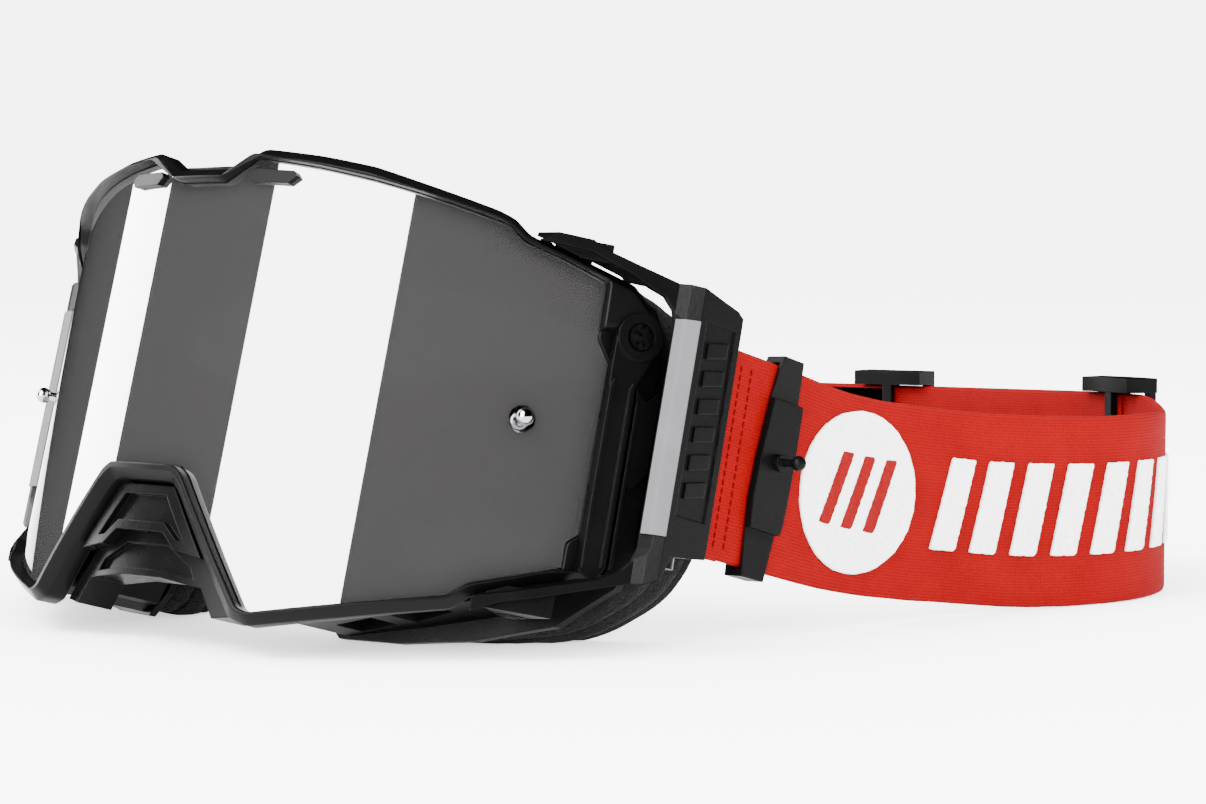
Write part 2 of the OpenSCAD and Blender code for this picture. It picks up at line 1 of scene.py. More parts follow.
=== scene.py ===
import math
import bmesh
import bpy
import numpy as np
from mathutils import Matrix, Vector


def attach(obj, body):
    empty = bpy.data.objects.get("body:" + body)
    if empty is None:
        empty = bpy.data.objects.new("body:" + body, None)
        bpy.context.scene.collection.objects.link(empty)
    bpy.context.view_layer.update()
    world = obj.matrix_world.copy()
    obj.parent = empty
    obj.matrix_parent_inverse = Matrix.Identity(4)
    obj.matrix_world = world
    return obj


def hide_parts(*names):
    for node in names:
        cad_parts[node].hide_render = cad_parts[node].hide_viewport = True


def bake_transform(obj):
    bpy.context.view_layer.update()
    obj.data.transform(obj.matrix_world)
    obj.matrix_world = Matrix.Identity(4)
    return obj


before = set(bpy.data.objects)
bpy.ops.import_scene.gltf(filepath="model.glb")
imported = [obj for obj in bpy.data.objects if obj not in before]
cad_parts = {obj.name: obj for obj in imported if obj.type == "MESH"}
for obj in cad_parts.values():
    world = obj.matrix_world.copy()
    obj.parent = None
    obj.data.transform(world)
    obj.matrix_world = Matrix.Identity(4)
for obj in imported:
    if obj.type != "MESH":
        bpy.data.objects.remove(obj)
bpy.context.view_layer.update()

bl_info = {
    "name": "Riding goggles",
    "version": (1, 0, 0),
    "blender": (4, 5, 0),
    "location": "3D View > Sidebar > Goggles",
    "description": "Builds off-road riding goggles with a woven strap",
    "category": "Add Mesh",
}

# where the upright eyepiece frame sits over the floor: lean in radians, lift and set-back in mm
LEAN = math.radians(15.6)
LIFT = 74.639
SET_BACK = 118.089
R = 100.0
FACE_Y = 186.0

# half outlines, top centre to bottom centre: arc length round the lens, height, in mm
LENS_HALF = [(7, 29.3), (15.5, 35), (30.9, 33.6), (44.1, 32), (55.8, 30.2), (71.5, 27.4),
             (75.4, 26.7), (79.7, 23.6), (90, 21.1), (98.9, 18.6), (99, 16), (99.1, 10.5),
             (99.1, 8.2), (99.1, 7.9), (99.1, 6), (103.2, 0), (103.4, -36.2), (99.8, -39.1),
             (99.8, -44.7), (98.9, -45), (98.6, -45.1), (95, -46.4), (90, -48.2), (80, -51.7),
             (76, -55.1), (65, -57.9), (54.2, -60.6), (35.1, -65.4), (32.6, -64.7),
             (12.6, -37.4), (10.2, -35.7)]
RIM_HALF = [(8, 32.4), (17, 37.2), (31.8, 36.3), (44.4, 35), (55.8, 32.7), (72.9, 29.4),
            (76.7, 28.2), (80.5, 25.2), (90, 23), (100, 20.6), (105.6, 19.4), (111.5, 13.8),
            (112.2, 10.5), (112.2, 10.2), (113, 6), (114, -5), (114, -38), (112.5, -41),
            (108.5, -45.6), (108, -46.2), (107.6, -46.4), (97.1, -48.6), (90, -51.2),
            (81.5, -54.3), (77.7, -57.8), (66, -60.7), (54.5, -63.7), (34.5, -68.5),
            (29.9, -67.2), (11.3, -41.6), (8.9, -39.4)]
RIM_HIGH = [3] * 13 + [0.2] * 7 + [3] * 11
FOAM_HALF = [(6, 33.5), (40, 31.5), (66, 26.5), (80, 21.5), (88, 13), (91.5, 0), (92.5, -14),
             (92, -36), (88, -47), (78, -57.5), (62, -63.5), (46, -66.4), (31, -67.2),
             (24.5, -61), (15, -36), (8, -24), (5, -22)]
BASE_HALF = FOAM_HALF[:9] + [(78, -57.2), (62, -61.7), (46, -63.5), (31, -64.7), (24.9, -61),
                             (15, -36), (8, -24), (5, -22)]

class EyepieceSizes(bpy.types.PropertyGroup):
    """Sizes of the rim and lens."""
    rim_bevel: bpy.props.FloatProperty(
        name="Rim bevel", description="Width of the front bevel of the rim",
        default=0.0021, min=0.0008, max=0.0025, subtype="DISTANCE", unit="LENGTH")
    corner: bpy.props.FloatProperty(
        name="Corner radius", description="Rounding of the outline corners",
        default=0.0012, min=0.0004, max=0.003, subtype="DISTANCE", unit="LENGTH")
    lens_thick: bpy.props.FloatProperty(
        name="Lens thickness", description="Thickness of the lens sheet",
        default=0.0016, min=0.001, max=0.002, subtype="DISTANCE", unit="LENGTH")


class StrapSizes(bpy.types.PropertyGroup):
    """Sizes of the webbing."""
    width: bpy.props.FloatProperty(
        name="Webbing width", description="Width of the strap", default=0.047,
        min=0.042, max=0.0475, subtype="DISTANCE", unit="LENGTH")
    thick: bpy.props.FloatProperty(
        name="Webbing thickness", description="Thickness of the strap", default=0.0019,
        min=0.001, max=0.0021, subtype="DISTANCE", unit="LENGTH")
    pile: bpy.props.FloatProperty(
        name="Pile height", description="How far the tufted marks stand out", default=0.0007,
        min=0.0002, max=0.001, subtype="DISTANCE", unit="LENGTH")


class GoggleColours(bpy.types.PropertyGroup):
    """Colours of the goggles."""
    shell: bpy.props.FloatVectorProperty(
        name="Shell", description="Moulded frame plastic", subtype="COLOR", size=3,
        default=(0.0014, 0.0014, 0.0015), min=0, max=1)
    webbing: bpy.props.FloatVectorProperty(
        name="Webbing", description="Elastic strap", subtype="COLOR", size=3,
        default=(0.12, 0.0, 0.0006), min=0, max=1)
    lens: bpy.props.FloatVectorProperty(
        name="Lens", description="Smoke tint", subtype="COLOR", size=3,
        default=(0.017, 0.0165, 0.0168), min=0, max=1)


def wide():
    """Webbing width in mm."""
    return bpy.context.scene.goggle_strap.width * 1000


def eyepiece(p):
    """Points of the upright eyepiece frame in mm, turned back by the lean and lifted, in metres."""
    p = np.asarray(p, float)
    c, s = math.cos(LEAN), math.sin(LEAN)
    x, y, z = p[..., 0], p[..., 1], p[..., 2]
    return np.stack([x, y * c + z * s - SET_BACK, z * c - y * s + LIFT], -1) / 1000


def on_lens(a, z, r):
    """Arc length a and height z put on the lens cylinder of radius r: angle is a over R."""
    t = a / R
    return np.stack([r * np.sin(t), R - r * np.cos(t), z + 0 * t], -1)


def on_face(x, z, r):
    """Width x and height z put on the face cylinder of radius r round its own axis."""
    return np.stack([x, FACE_Y - np.sqrt(r * r - x * x), z + 0 * x], -1)


def full(half):
    """A half outline and its mirror image as one counter-clockwise loop."""
    h = np.array(half, float)
    return np.concatenate([h * [-1, 1], h[::-1]])


def inset(p, d):
    """Each corner moved in along its mitre: d over one plus the cosine between the edge normals."""
    a = p - np.roll(p, 1, 0)
    b = np.roll(p, -1, 0) - p
    a /= np.linalg.norm(a, axis=1)[:, None]
    b /= np.linalg.norm(b, axis=1)[:, None]
    m = np.stack([-a[:, 1], a[:, 0]], 1)
    n = np.stack([-b[:, 1], b[:, 0]], 1)
    k = 1 + (m * n).sum(1)
    return p + np.reshape(d, (-1, 1)) * (m + n) / np.maximum(k, 0.35)[:, None]


def rounded(p, radius, steps=3):
    """Each corner replaced by a quadratic arc that starts and ends up to radius away from it."""
    a = np.roll(p, 1, 0) - p
    b = np.roll(p, -1, 0) - p
    la = np.linalg.norm(a, axis=1)[:, None]
    lb = np.linalg.norm(b, axis=1)[:, None]
    r = np.minimum(radius, np.minimum(la, lb) * 0.42)
    s, e = p + a / la * r, p + b / lb * r
    t = np.linspace(0, 1, steps + 1)[None, :, None]
    q = (1 - t) ** 2 * s[:, None] + 2 * t * (1 - t) * p[:, None] + t * t * e[:, None]
    return q.reshape(-1, p.shape[1])


def parts_of(p, step):
    """How many pieces each edge of a loop is cut into, at most step long each."""
    length = np.linalg.norm(np.roll(p, -1, 0) - p, axis=1)
    return np.maximum(1, np.ceil(length / step)).astype(int)


def dense(p, counts):
    """Every edge cut into its count of equal parts, by linear interpolation."""
    i = np.repeat(np.arange(len(p)), counts)
    first = np.concatenate([[0], np.cumsum(counts)[:-1]])
    t = (np.arange(len(i)) - first[i]) / counts[i]
    return p[i] * (1 - t)[:, None] + np.roll(p, -1, 0)[i] * t[:, None]


def volume(v, f):
    """Signed volume of a closed quad mesh, from its triangles with the origin."""
    a, b, c, d = (v[f[:, i]] for i in range(4))
    return (np.einsum("ij,ij->i", a, np.cross(b, c)) + np.einsum("ij,ij->i", a, np.cross(c, d))).sum()


def grid_mesh(name, P, wrap_u=True, wrap_v=True, caps=False, uv=None, sharp=35, smooth=True):
    """A grid of points P[u, v] joined to its neighbours by quads, closed round u or v where asked."""
    nu, nv = P.shape[:2]
    v = P.reshape(-1, 3)
    iu = np.arange(nu if wrap_u else nu - 1)
    iv = np.arange(nv if wrap_v else nv - 1)
    a = iu[:, None] * nv + iv[None, :]
    b = ((iu + 1) % nu)[:, None] * nv + iv[None, :]
    c = ((iu + 1) % nu)[:, None] * nv + ((iv + 1) % nv)[None, :]
    d = iu[:, None] * nv + ((iv + 1) % nv)[None, :]
    quads = np.stack([a, b, c, d], -1).reshape(-1, 4)
    centred = v - v.mean(0)
    ends = []
    if caps:
        ends = [list(range(nv))[::-1], list(range((nu - 1) * nv, nu * nv))]
    flip = volume(centred, quads) < 0
    if flip:
        quads = quads[:, ::-1]
        ends = [e[::-1] for e in ends]
    me = bpy.data.meshes.new(name)
    me.from_pydata(v, [], quads.tolist() + ends)
    if uv is not None:
        layer = me.uv_layers.new(name="along")
        loops = np.empty(len(me.loops), np.int32)
        me.loops.foreach_get("vertex_index", loops)
        layer.data.foreach_set("uv", uv.reshape(-1, 2)[loops].astype(np.float32).ravel())
    me.validate()
    ob = bpy.data.objects.new(name, me)
    bpy.context.scene.collection.objects.link(ob)
    if smooth:
        me.shade_smooth()
        me.set_sharp_from_angle(angle=math.radians(sharp))
    return ob


def finish_piece(ob, body, material, nodes=()):
    """Gives a piece its finish and its body, and hides the solids it stands for."""
    ob.data.materials.clear()
    ob.data.materials.append(material)
    if nodes:
        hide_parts(*nodes)
    if body:
        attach(ob, body)
    return ob


# ---- materials ----
def new_material(name):
    """An empty node material with its Principled shader."""
    m = bpy.data.materials.get(name)
    if m:
        return m, None, None
    m = bpy.data.materials.new(name)
    m.use_nodes = True
    nt = m.node_tree
    return m, nt, nt.nodes["Principled BSDF"]


def node(nt, kind, **values):
    n = nt.nodes.new(kind)
    for k, v in values.items():
        if k in n.inputs:
            n.inputs[k].default_value = v
        else:
            setattr(n, k, v)
    return n


def ramp(nt, source, low, high, a, b):
    """A Map Range from low..high to a..b."""
    r = nt.nodes.new("ShaderNodeMapRange")
    r.inputs["From Min"].default_value = low
    r.inputs["From Max"].default_value = high
    r.inputs["To Min"].default_value = a
    r.inputs["To Max"].default_value = b
    nt.links.new(source, r.inputs["Value"])
    return r.outputs["Result"]


def moulded(name, colour, rough=0.36, grain=1500.0, depth=0.25, edge=0.0, specular=0.035):
    """Moulded plastic: fine spark-eroded grain in the bump, cloudy gloss, softened edges."""
    m, nt, b = new_material(name)
    if nt is None:
        return m
    co = node(nt, "ShaderNodeTexCoord")
    fine = node(nt, "ShaderNodeTexNoise", Scale=grain, Detail=3.0, Roughness=0.6)
    cloud = node(nt, "ShaderNodeTexNoise", Scale=60.0, Detail=3.0)
    nt.links.new(co.outputs["Object"], fine.inputs["Vector"])
    nt.links.new(co.outputs["Object"], cloud.inputs["Vector"])
    mix = node(nt, "ShaderNodeMix", data_type="RGBA")
    mix.inputs[6].default_value = (*[c * 0.8 for c in colour], 1)
    mix.inputs[7].default_value = (*[c * 1.25 for c in colour], 1)
    nt.links.new(cloud.outputs["Fac"], mix.inputs["Factor"])
    nt.links.new(mix.outputs[2], b.inputs["Base Color"])
    nt.links.new(ramp(nt, cloud.outputs["Fac"], 0.3, 0.7, rough - 0.05, rough + 0.07),
                 b.inputs["Roughness"])
    b.inputs["Specular IOR Level"].default_value = specular
    bump = node(nt, "ShaderNodeBump", Strength=depth, Distance=0.0002)
    nt.links.new(fine.outputs["Fac"], bump.inputs["Height"])
    if edge > 0:
        bev = node(nt, "ShaderNodeBevel", samples=6, Radius=edge)
        nt.links.new(bev.outputs["Normal"], bump.inputs["Normal"])
    nt.links.new(bump.outputs["Normal"], b.inputs["Normal"])
    return m


def metal(name, colour, rough=0.15):
    """Turned metal: faint noise in the roughness and a very fine bump."""
    m, nt, b = new_material(name)
    if nt is None:
        return m
    co = node(nt, "ShaderNodeTexCoord")
    n = node(nt, "ShaderNodeTexNoise", Scale=900.0, Detail=2.0)
    nt.links.new(co.outputs["Object"], n.inputs["Vector"])
    b.inputs["Base Color"].default_value = (*colour, 1)
    b.inputs["Metallic"].default_value = 1.0
    nt.links.new(ramp(nt, n.outputs["Fac"], 0.3, 0.7, rough * 0.7, rough * 1.4), b.inputs["Roughness"])
    bump = node(nt, "ShaderNodeBump", Strength=0.05, Distance=0.0001)
    nt.links.new(n.outputs["Fac"], bump.inputs["Height"])
    nt.links.new(bump.outputs["Normal"], b.inputs["Normal"])
    return m


def smoke_lens(colour):
    """Tinted polished sheet: nearly opaque grey with a faint haze in the gloss."""
    m, nt, b = new_material("smoke_lens")
    if nt is None:
        return m
    co = node(nt, "ShaderNodeTexCoord")
    n = node(nt, "ShaderNodeTexNoise", Scale=25.0, Detail=2.0)
    nt.links.new(co.outputs["Object"], n.inputs["Vector"])
    mix = node(nt, "ShaderNodeMix", data_type="RGBA")
    mix.inputs[6].default_value = (*[c * 0.97 for c in colour], 1)
    mix.inputs[7].default_value = (*[c * 1.03 for c in colour], 1)
    nt.links.new(n.outputs["Fac"], mix.inputs["Factor"])
    nt.links.new(mix.outputs[2], b.inputs["Base Color"])
    nt.links.new(ramp(nt, n.outputs["Fac"], 0.3, 0.7, 0.012, 0.02), b.inputs["Roughness"])
    b.inputs["Transmission Weight"].default_value = 0.0
    b.inputs["IOR"].default_value = 1.9
    b.inputs["Specular IOR Level"].default_value = 0.8
    b.inputs["Alpha"].default_value = 0.97
    return m


def foam_finish(name, colour, cell, depth):
    """Open-cell foam: cells from a Voronoi pattern darken and dent the surface."""
    m, nt, b = new_material(name)
    if nt is None:
        return m
    co = node(nt, "ShaderNodeTexCoord")
    cells = node(nt, "ShaderNodeTexVoronoi", Scale=cell)
    cloud = node(nt, "ShaderNodeTexNoise", Scale=cell * 0.6, Detail=4.0)
    nt.links.new(co.outputs["Object"], cells.inputs["Vector"])
    nt.links.new(co.outputs["Object"], cloud.inputs["Vector"])
    mix = node(nt, "ShaderNodeMix", data_type="RGBA")
    mix.inputs[6].default_value = (*[c * 1.6 for c in colour], 1)
    mix.inputs[7].default_value = (*[c * 0.4 for c in colour], 1)
    nt.links.new(cells.outputs["Distance"], mix.inputs["Factor"])
    nt.links.new(mix.outputs[2], b.inputs["Base Color"])
    nt.links.new(ramp(nt, cloud.outputs["Fac"], 0.3, 0.7, 0.8, 1.0), b.inputs["Roughness"])
    b.inputs["Specular IOR Level"].default_value = 0.1
    bump = node(nt, "ShaderNodeBump", Strength=depth, Distance=0.0006)
    nt.links.new(cells.outputs["Distance"], bump.inputs["Height"])
    bump2 = node(nt, "ShaderNodeBump", Strength=depth * 0.6, Distance=0.0004)
    nt.links.new(cloud.outputs["Fac"], bump2.inputs["Height"])
    nt.links.new(bump.outputs["Normal"], bump2.inputs["Normal"])
    nt.links.new(bump2.outputs["Normal"], b.inputs["Normal"])
    return m


def woven(name, colour):
    """Elastic webbing: fine warp cords along the strap crossed by weft ribs, in strap lengths."""
    m, nt, b = new_material(name)
    if nt is None:
        return m
    uv = node(nt, "ShaderNodeUVMap", uv_map="along")
    warp = node(nt, "ShaderNodeTexWave", wave_type="BANDS", bands_direction="Y", Scale=420.0,
                Distortion=0.6)
    weft = node(nt, "ShaderNodeTexWave", wave_type="BANDS", bands_direction="X", Scale=520.0,
                Distortion=1.2)
    flecks = node(nt, "ShaderNodeTexNoise", Scale=1200.0, Detail=2.0)
    cloud = node(nt, "ShaderNodeTexNoise", Scale=90.0, Detail=4.0)
    stretch = node(nt, "ShaderNodeMapping")
    stretch.inputs["Scale"].default_value = (2.4, 0.7, 1)
    nt.links.new(uv.outputs["UV"], stretch.inputs["Vector"])
    nt.links.new(stretch.outputs["Vector"], flecks.inputs["Vector"])
    for n in (warp, weft, cloud):
        nt.links.new(uv.outputs["UV"], n.inputs["Vector"])
    mul = node(nt, "ShaderNodeMath", operation="MULTIPLY")
    nt.links.new(warp.outputs["Fac"], mul.inputs[0])
    nt.links.new(weft.outputs["Fac"], mul.inputs[1])
    add = node(nt, "ShaderNodeMath", operation="ADD")
    nt.links.new(mul.outputs[0], add.inputs[0])
    nt.links.new(flecks.outputs["Fac"], add.inputs[1])
    mix = node(nt, "ShaderNodeMix", data_type="RGBA")
    mix.inputs[6].default_value = (*[c * 0.72 for c in colour], 1)
    mix.inputs[7].default_value = (*[min(1, c * 1.12) for c in colour], 1)
    nt.links.new(ramp(nt, add.outputs[0], 0.4, 1.3, 0, 1), mix.inputs["Factor"])
    mix2 = node(nt, "ShaderNodeMix", data_type="RGBA", blend_type="MULTIPLY")
    mix2.inputs["Factor"].default_value = 1.0
    nt.links.new(mix.outputs[2], mix2.inputs[6])
    nt.links.new(ramp(nt, cloud.outputs["Fac"], 0.3, 0.7, 0.9, 1.05), mix2.inputs[7])
    nt.links.new(mix2.outputs[2], b.inputs["Base Color"])
    nt.links.new(ramp(nt, flecks.outputs["Fac"], 0.3, 0.7, 0.7, 0.9), b.inputs["Roughness"])
    b.inputs["Specular IOR Level"].default_value = 0.03
    bump = node(nt, "ShaderNodeBump", Strength=0.5, Distance=0.0002)
    nt.links.new(add.outputs[0], bump.inputs["Height"])
    nt.links.new(bump.outputs["Normal"], b.inputs["Normal"])
    return m


def tufted(name, colour):
    """Cut pile: short upright tufts from fine noise, paler at their tips."""
    m, nt, b = new_material(name)
    if nt is None:
        return m
    co = node(nt, "ShaderNodeTexCoord")
    tufts = node(nt, "ShaderNodeTexVoronoi", Scale=1300.0)
    cloud = node(nt, "ShaderNodeTexNoise", Scale=500.0, Detail=4.0)
    for n in (tufts, cloud):
        nt.links.new(co.outputs["Object"], n.inputs["Vector"])
    mix = node(nt, "ShaderNodeMix", data_type="RGBA")
    mix.inputs[6].default_value = (*colour, 1)
    mix.inputs[7].default_value = (*[c * 0.75 for c in colour], 1)
    nt.links.new(tufts.outputs["Distance"], mix.inputs["Factor"])
    nt.links.new(mix.outputs[2], b.inputs["Base Color"])
    nt.links.new(ramp(nt, cloud.outputs["Fac"], 0.3, 0.7, 0.85, 1.0), b.inputs["Roughness"])
    b.inputs["Specular IOR Level"].default_value = 0.1
    bump = node(nt, "ShaderNodeBump", Strength=0.8, Distance=0.0004)
    nt.links.new(cloud.outputs["Fac"], bump.inputs["Height"])
    nt.links.new(bump.outputs["Normal"], b.inputs["Normal"])
    return m


def shell_material():
    c = bpy.context.scene.goggle_colours
    return moulded("moulded_shell", tuple(c.shell), rough=0.34, edge=0.0003)


# ---- pieces ----
class GOGGLES_OT_rim(bpy.types.Operator):
    """Stepped rim round the lens, with a front bevel"""
    bl_idname = "goggles.rim"
    bl_label = "Rim"

    def execute(self, context):
        z = context.scene.goggle_eyepiece
        rad, bev = z.corner * 1000, z.rim_bevel * 1000
        high = np.abs(full([(h, 0) for h in RIM_HIGH])[:, 0])
        outer, inner = full(RIM_HALF), full(LENS_HALF)

        def level(use_outer, d, dr, follow):
            """One loop of the rim: outline moved in by d, radius R + dr, or dr above the front."""
            base = inset(outer if use_outer else inner, d)
            q = np.concatenate([base, high[:, None]], 1)
            q = rounded(q, rad)
            q = dense(q, counts)
            r = R + dr + (q[:, 2] if follow else 0)
            return on_lens(q[:, 0], q[:, 1], r)

        ref = rounded(np.concatenate([outer, high[:, None]], 1), rad)
        counts = parts_of(ref[:, :2], 1.6)
        rows = [level(True, 1.2, -4, False), level(True, 0.25, -4, False),
                level(True, 0, -3.6, False), level(True, 0, -bev * 1.15, True),
                level(True, 0.12, -bev * 1.15 + 0.25, True),
                level(True, bev - 0.15, -0.22, True), level(True, bev, -0.05, True),
                level(False, -0.55, 0, True), level(False, -0.25, -0.3, True),
                level(False, -0.2, -0.9, True), level(False, -0.18, 0.05, False),
                level(False, -0.18, -2.4, False), level(False, 2.6, -2.4, False),
                level(False, 3.0, -2.8, False), level(False, 3.0, -4, False)]
        ob = grid_mesh("front_rim_moulding", eyepiece(np.array(rows)), sharp=28)
        finish_piece(ob, "eyepiece_and_rear_strap", shell_material(), ["front_rim"])
        return {"FINISHED"}


class GOGGLES_OT_lens(bpy.types.Operator):
    """Curved lens sheet: between a top and a bottom outline, on two radii"""
    bl_idname = "goggles.lens"
    bl_label = "Lens"

    def execute(self, context):
        z = context.scene.goggle_eyepiece
        top = np.array([(0, 29.3)] + LENS_HALF[:10] + [(99.1, 18.4), (99.1, 6), (103.2, 0), (103.4, -1)])
        low = np.array([(0, -35.7), (10.2, -35.7), (12.6, -37.4), (32.6, -64.7), (33.6, -65.3),
                        (35.1, -65.4), (54.2, -60.6), (65, -57.9), (76, -55.1), (80, -51.7),
                        (90, -48.2), (99.79, -44.7), (99.8, -39.1), (103.39, -36.2), (103.4, -36)])
        a = np.unique(np.concatenate([np.arange(0, 103.3, 0.8), top[:, 0], low[:, 0],
                                      [99.0999, 99.7999]]))
        zt = np.interp(a, top[:, 0] + np.arange(len(top)) * 1e-9, top[:, 1])
        zt[a < 99.1] = np.interp(a[a < 99.1], top[:11, 0], top[:11, 1])
        zb = np.interp(a, low[:, 0], low[:, 1])
        a = np.concatenate([-a[::-1], a[1:]])
        zt = np.concatenate([zt[::-1], zt[1:]])
        zb = np.concatenate([zb[::-1], zb[1:]])
        t = np.linspace(0, 1, 41)
        th = z.lens_thick * 1000
        zz = zb[:, None] + (zt - zb)[:, None] * t[None, :]
        aa = np.repeat(a[:, None], len(t), 1)
        front = on_lens(aa, zz, R - 0.02)
        back = on_lens(aa, zz, R - th)[:, ::-1]
        P = np.concatenate([front, back], 1)
        ob = grid_mesh("lens_sheet", eyepiece(P), wrap_u=False, wrap_v=True, sharp=40)
        # close both ends with a strip of quads
        me = ob.data
        nv, m = P.shape[1], len(t)
        bm = bmesh.new()
        bm.from_mesh(me)
        bm.verts.ensure_lookup_table()
        for base in (0, (P.shape[0] - 1) * nv):
            for k in range(m - 1):
                q = [base + k, base + k + 1, base + nv - 2 - k, base + nv - 1 - k]
                bm.faces.new([bm.verts[i] for i in q])
        bmesh.ops.recalc_face_normals(bm, faces=bm.faces)
        bm.to_mesh(me)
        bm.free()
        me.shade_smooth()
        me.set_sharp_from_angle(angle=math.radians(40))
        finish_piece(ob, "eyepiece_and_rear_strap",
                     smoke_lens(tuple(context.scene.goggle_colours.lens)), ["lens"])
        return {"FINISHED"}


def foam_ring(name, half, r0, r1, out, inn, bulge, material, nodes, corner=6.0):
    """Foam ring between two insets of the face outline and two radii, with swollen side walls;
    heights below the floor are raised to it."""
    base = full(half)

    def level(d, r):
        q = rounded(inset(base, d), corner, 5)
        q = dense(q, counts)
        return on_face(q[:, 0], q[:, 1], r)

    counts = parts_of(rounded(base, corner, 5), 2.0)
    mid = (r0 + r1) / 2
    e = min(1.2, (r1 - r0) / 3)
    rows = [level(out + e, r1 - 0.02), level(out + e * 0.3, r1 - 0.3 * e), level(out, r1 - e),
            level(out - bulge, mid), level(out, r0 + e), level(out + 0.3 * e, r0 + 0.3 * e),
            level(out + e, r0 + 0.02), level((out + inn) / 2, r0 - bulge * 0.2 + 0.02),
            level(inn - e, r0 + 0.02), level(inn - 0.3 * e, r0 + 0.3 * e), level(inn, r0 + e),
            level(inn + bulge, mid), level(inn, r1 - e), level(inn - 0.3 * e, r1 - 0.3 * e),
            level(inn - e, r1 - 0.02)]
    P = eyepiece(np.array(rows))
    P[..., 2] = np.maximum(P[..., 2], 0.0001)
    ob = grid_mesh(name, P, sharp=80)
    finish_piece(ob, "eyepiece_and_rear_strap", material, nodes)
    return ob


class GOGGLES_OT_foam(bpy.types.Operator):
    """Three layers of face foam, and the vent foam behind the air slots"""
    bl_idname = "goggles.foam"
    bl_label = "Foam"

    def execute(self, context):
        dark = foam_finish("open_cell_foam", (0.0022, 0.0022, 0.0023), 950.0, 0.8)
        soft = foam_finish("soft_foam", (0.003, 0.003, 0.0032), 1300.0, 0.6)
        skin = foam_finish("brushed_fleece", (0.005, 0.005, 0.0055), 2200.0, 0.5)
        foam_ring("foam_base_layer", BASE_HALF, 144, 150, 0.3, 12.7, 0.4, dark, ["face_foam_base"])
        foam_ring("foam_middle_layer", FOAM_HALF, 137.5, 144, 1.2, 12.8, 0.5, soft, ["face_foam_middle"])
        foam_ring("fleece_layer", FOAM_HALF, 134.6, 137.5, 1.9, 12.2, 0.3, skin, ["face_fleece"])
        for nm in ("vent_foam_top", "vent_foam_bottom"):
            self.vent(nm, dark)
        return {"FINISHED"}

    def vent(self, nm, material):
        """A sheet under the slots: width and depth grid, height from the body's inner outline."""
        top = nm.endswith("top")
        x = np.linspace(-61, 61, 62) if top else np.linspace(37, 65, 20)
        hx = np.array([0, 17, 31.8, 44.4, 55.8, 72.9]) if top else np.array([30, 54.5, 77.7])
        hz = np.array([34.8, 35, 34.2, 32.8, 30.6, 27.2]) - 3.9 if top else \
            np.array([-64.4, -61, -55.2]) + 4.1
        hx = R * np.sin(hx / R)
        n = len(x)
        z = np.interp(np.abs(x), hx, hz)
        y0 = R - np.sqrt((R - 6.5) ** 2 - x * x)
        y0 = np.maximum(y0, 12.5) + 0.3
        y1 = np.minimum(32.5 if top else 47, FACE_Y - np.sqrt(152.4 ** 2 - x * x))
        t = np.linspace(0, 1, 14)
        Y = y0[:, None] + (y1 - y0)[:, None] * t
        Z = np.repeat(z[:, None], 14, 1)
        X = np.repeat(x[:, None], 14, 1)
        s = 0.7
        P = np.concatenate([np.stack([X, Y, Z + s], -1), np.stack([X, Y, Z - s], -1)[:, ::-1]], 1)
        made = [P] if top else [P, P * [-1, 1, 1]]
        for i, Q in enumerate(made):
            ob = grid_mesh(f"{nm}_sheet_{i}", eyepiece(Q), wrap_u=False, wrap_v=True, caps=True)
            finish_piece(ob, "eyepiece_and_rear_strap", material, [nm] if i == 0 else [])


# ---- strap ----
SPLAY = math.radians(6.84)
SP = (103.0, 70.0)
LOOP_Z0 = -36.4
BEND_R = 43.8
BEND_X = 92.44
BEND_Y = 206.75
REAR_Z = 2.8
REAR_Y = BEND_Y + BEND_R
SPLIT_X = 34.6
# heading from straight back, degrees, against running length; edge heights against depth
HEADING = ((0, 20, 46, 75, 100, 113), (6.84, 6.84, 11, 18, 25, 25))
LOW_EDGE = ((57.6, 90.2, 97.2, 104.3, 111.5, 118.9, 126.4, 134, 142, 155, 163, 173),
            (20.76, 11.9, 10.1, 8.6, 7.2, 6.1, 4.9, 4.0, 2.9, 1.2, 0.5, 0.1))
TOP_EDGE = ((56.0, 70.3, 83.3, 94.5, 102.4, 111, 120.6, 135, 151.5, 164, 180),
            (70.0, 66.03, 62.5, 59.2, 56.8, 54.5, 52.6, 50.6, 48.6, 47.8, 47.1))


